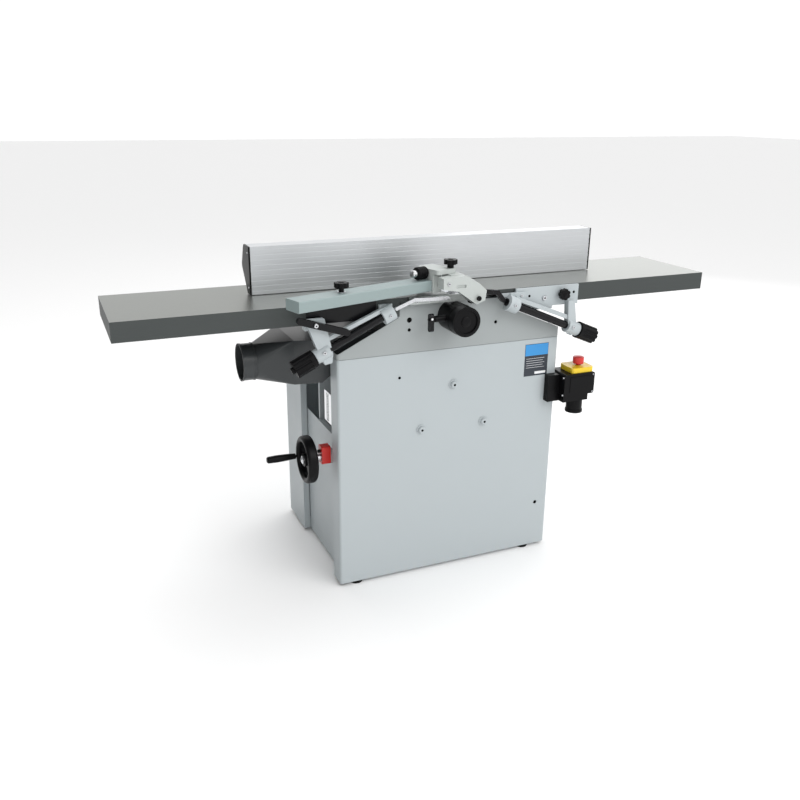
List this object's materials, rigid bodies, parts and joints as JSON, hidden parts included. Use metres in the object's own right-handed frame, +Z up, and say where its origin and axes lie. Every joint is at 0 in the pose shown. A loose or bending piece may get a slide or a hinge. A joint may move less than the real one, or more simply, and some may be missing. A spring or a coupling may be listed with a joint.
{
  "type": "planer thicknesser",
  "caption": "Combined surface planer and thicknesser with opening cast tables, ribbed fence, bridge guard, cutter block, rising table, dust hood and switch.",
  "frame": {"origin": "centre of the machine's footprint on the floor", "axes": "+X along the tables towards the infeed end, +Y away from the operator, +Z up"},
  "size_m": [1.794, 0.6915, 1.002],
  "materials": {
    "light_grey_paint": "satin",
    "warm_grey_paint": "satin",
    "cream_paint": "satin",
    "beam_paint": "satin",
    "black_paint": "satin",
    "motor_paint": "satin",
    "ground_iron": "ground",
    "grey_iron": "rough",
    "steel": "brushed",
    "knife_steel": "ground",
    "fence_aluminium": "ribbed",
    "black_plastic": "matt",
    "hood_plastic": "matt",
    "black_rubber": "matt",
    "red_plastic": "gloss",
    "yellow_plastic": "gloss"
  },
  "bodies": {
    "machine": {"base_pan": "light_grey_paint", "levelling_feet": "black_rubber", "front_panel": "light_grey_paint", "front_cover": "warm_grey_paint", "side_panels": "light_grey_paint", "rear_box": "light_grey_paint", "rear_cover": "light_grey_paint", "front_cheek": "light_grey_paint", "rear_cheek": "light_grey_paint", "panel_screws": "steel", "motor": "motor_paint", "drive_belt": "black_rubber", "cutter_bearings": "steel", "kickback_rod": "steel", "lift_column": "steel", "position_indicator": "red_plastic", "hinge_brackets": "light_grey_paint", "lock_hub": "black_plastic", "dust_hood": "hood_plastic", "switch_body": "black_plastic"},
    "cutter": {"cutter_block": "steel", "cutter_knives": "knife_steel", "cutter_pulley": "grey_iron"},
    "motor_rotor": {"motor_pulley": "grey_iron"},
    "infeed_roller": {"feed_roller_in": "steel"},
    "outfeed_roller": {"feed_roller_out": "black_rubber"},
    "fingers": {"kickback_fingers": "grey_iron"},
    "thicknessing_table": {"thicknesser_table": "ground_iron"},
    "lift_screw_body": {"lift_screw": "steel"},
    "wheel": {"drive_shaft": "steel", "handwheel": "black_plastic"},
    "crank": {"crank_handle": "black_plastic"},
    "outfeed": {"outfeed_table": "ground_iron", "outfeed_arm": "light_grey_paint", "outfeed_latch_bar": "steel", "fence_bracket": "grey_iron", "guard_bracket": "cream_paint"},
    "infeed_frame": {"infeed_carrier": "light_grey_paint", "infeed_arm": "light_grey_paint", "infeed_latch_bar": "black_paint"},
    "infeed": {"infeed_table": "ground_iron"},
    "infeed_knob": {"infeed_lock_knob": "black_plastic"},
    "left_rod": {"left_lock_rod": "black_paint", "left_rod_knob": "black_plastic"},
    "right_rod": {"right_lock_rod": "black_paint", "right_rod_knob": "black_plastic"},
    "left_latch": {"latch_lever": "black_paint"},
    "hub_handle": {"hub_lever": "black_paint"},
    "fence_slider": {"fence_bar": "grey_iron"},
    "fence": {"fence_profile": "fence_aluminium", "fence_caps": "black_plastic"},
    "fence_clamp": {"fence_lever": "black_paint"},
    "guard_raiser": {"guard_arm": "cream_paint"},
    "guard_swinger": {"guard_carriage": "cream_paint"},
    "guard": {"guard_beam": "beam_paint"},
    "guard_beam_screw": {"beam_knob": "black_plastic"},
    "guard_swing_screw": {"swing_knob": "black_plastic"},
    "guard_handle": {"guard_grip": "black_plastic"},
    "switch_cover": {"switch_flap": "yellow_plastic"},
    "stop": {"stop_button": "red_plastic"}
  },
  "joints": [
    {"name": "cutter_spin", "type": "hinge", "parent": "machine", "child": "cutter", "pos_m": [0.031, -0.056, 0.833], "axis": [0, 1, 0], "continuous": true},
    {"name": "motor_spin", "type": "hinge", "parent": "machine", "child": "motor_rotor", "pos_m": [0.031, 0.15, 0.17], "axis": [0, 1, 0], "continuous": true},
    {"name": "infeed_roller_spin", "type": "hinge", "parent": "machine", "child": "infeed_roller", "pos_m": [0.109, -0.056, 0.812], "axis": [0, 1, 0], "continuous": true},
    {"name": "outfeed_roller_spin", "type": "hinge", "parent": "machine", "child": "outfeed_roller", "pos_m": [-0.047, -0.056, 0.812], "axis": [0, 1, 0], "continuous": true},
    {"name": "kickback_swing", "type": "hinge", "parent": "machine", "child": "fingers", "pos_m": [0.149, -0.056, 0.826], "axis": [0, 1, 0], "range_deg": [-45, 0]},
    {"name": "handwheel_turn", "type": "hinge", "parent": "machine", "child": "wheel", "pos_m": [-0.392, -0.111, 0.392], "axis": [1, 0, 0], "range_deg": [0, 7200]},
    {"name": "thicknesser_lift", "type": "slide", "parent": "machine", "child": "thicknessing_table", "axis": [0, 0, 1], "range_m": [0, 0.1]},
    {"name": "lift_screw_turn", "type": "hinge", "parent": "machine", "child": "lift_screw_body", "pos_m": [0.031, -0.111, 0.4], "axis": [0, 0, 1], "range_deg": [-7200, 0]},
    {"name": "crank_spin", "type": "hinge", "parent": "wheel", "child": "crank", "pos_m": [-0.45, -0.051, 0.381], "axis": [1, 0, 0], "continuous": true},
    {"name": "tables_open", "type": "hinge", "parent": "machine", "child": "outfeed", "pos_m": [-0.2, 0.129, 0.8], "axis": [-1, 0, 0], "range_deg": [0, 88]},
    {"name": "infeed_table_open", "type": "hinge", "parent": "machine", "child": "infeed_frame", "pos_m": [0.285, 0.129, 0.8], "axis": [-1, 0, 0], "range_deg": [0, 88]},
    {"name": "infeed_depth", "type": "slide", "parent": "infeed_frame", "child": "infeed", "axis": [0, 0, 1], "range_m": [-0.004, 0]},
    {"name": "infeed_knob_turn", "type": "hinge", "parent": "infeed_frame", "child": "infeed_knob", "pos_m": [0.366, -0.236, 0.845], "axis": [0, -1, 0], "range_deg": [-180, 180]},
    {"name": "left_rod_turn", "type": "hinge", "parent": "outfeed", "child": "left_rod", "pos_m": [-0.426, -0.236, 0.72], "axis": [0.9005, 0, 0.4349], "range_deg": [0, 90]},
    {"name": "right_rod_turn", "type": "hinge", "parent": "infeed_frame", "child": "right_rod", "pos_m": [0.452, -0.236, 0.721], "axis": [-0.9229, 0, 0.3851], "range_deg": [0, 90]},
    {"name": "latch_swing", "type": "hinge", "parent": "outfeed", "child": "left_latch", "pos_m": [-0.4, -0.256, 0.827], "axis": [0, 1, 0], "range_deg": [-20, 0]},
    {"name": "hub_lever_turn", "type": "hinge", "parent": "machine", "child": "hub_handle", "pos_m": [-0.066, -0.246, 0.81], "axis": [1, 0, 0], "range_deg": [-45, 45]},
    {"name": "fence_slide", "type": "slide", "parent": "outfeed", "child": "fence_slider", "axis": [0, -1, 0], "range_m": [-0.06, 0.085]},
    {"name": "fence_tilt", "type": "hinge", "parent": "fence_slider", "child": "fence", "pos_m": [-0.225, -0.013, 0.882], "axis": [-1, 0, 0], "range_deg": [0, 45]},
    {"name": "fence_clamp_turn", "type": "hinge", "parent": "outfeed", "child": "fence_clamp", "pos_m": [-0.225, 0.13, 0.895], "axis": [0, 0, 1], "range_deg": [0, 70]},
    {"name": "guard_raise", "type": "hinge", "parent": "outfeed", "child": "guard_raiser", "pos_m": [0.06, -0.256, 0.866], "axis": [0, 1, 0], "range_deg": [0, 10]},
    {"name": "guard_swing", "type": "hinge", "parent": "guard_raiser", "child": "guard_swinger", "pos_m": [0.0035, -0.216, 0.935], "axis": [0, 0, 1], "range_deg": [-26, 0]},
    {"name": "guard_beam_slide", "type": "slide", "parent": "guard_swinger", "child": "guard", "axis": [-0.9588, -0.284, 0], "range_m": [-0.2, 0]},
    {"name": "beam_knob_turn", "type": "hinge", "parent": "guard", "child": "guard_beam_screw", "pos_m": [-0.33426, -0.27469, 0.922], "axis": [0, 0, 1], "range_deg": [-180, 180]},
    {"name": "swing_knob_turn", "type": "hinge", "parent": "guard_raiser", "child": "guard_swing_screw", "pos_m": [0.0035, -0.216, 0.95], "axis": [0, 0, 1], "range_deg": [-180, 180]},
    {"name": "guard_grip_turn", "type": "hinge", "parent": "guard_swinger", "child": "guard_handle", "pos_m": [-0.08191, -0.20411, 0.931], "axis": [0.9588, 0.284, 0], "range_deg": [-180, 180]},
    {"name": "switch_flap_open", "type": "hinge", "parent": "machine", "child": "switch_cover", "pos_m": [0.452, -0.176, 0.6005], "axis": [-1, 0, 0], "range_deg": [0, 95]},
    {"name": "stop_press", "type": "slide", "parent": "switch_cover", "child": "stop", "axis": [0, 0, -1], "range_m": [0, 0.004], "stiffness_N_per_m": 500, "springref_m": -0.004}
  ],
  "couplings": [
    {"joint": "motor_spin", "follows": "cutter_spin", "ratio": 0.8333},
    {"joint": "infeed_roller_spin", "follows": "cutter_spin", "ratio": -0.02},
    {"joint": "outfeed_roller_spin", "follows": "cutter_spin", "ratio": -0.02},
    {"joint": "handwheel_turn", "follows": "thicknesser_lift", "rad_per_m": 1256.6},
    {"joint": "lift_screw_turn", "follows": "thicknesser_lift", "rad_per_m": -1256.6},
    {"joint": "infeed_table_open", "follows": "tables_open", "ratio": 1}
  ]
}
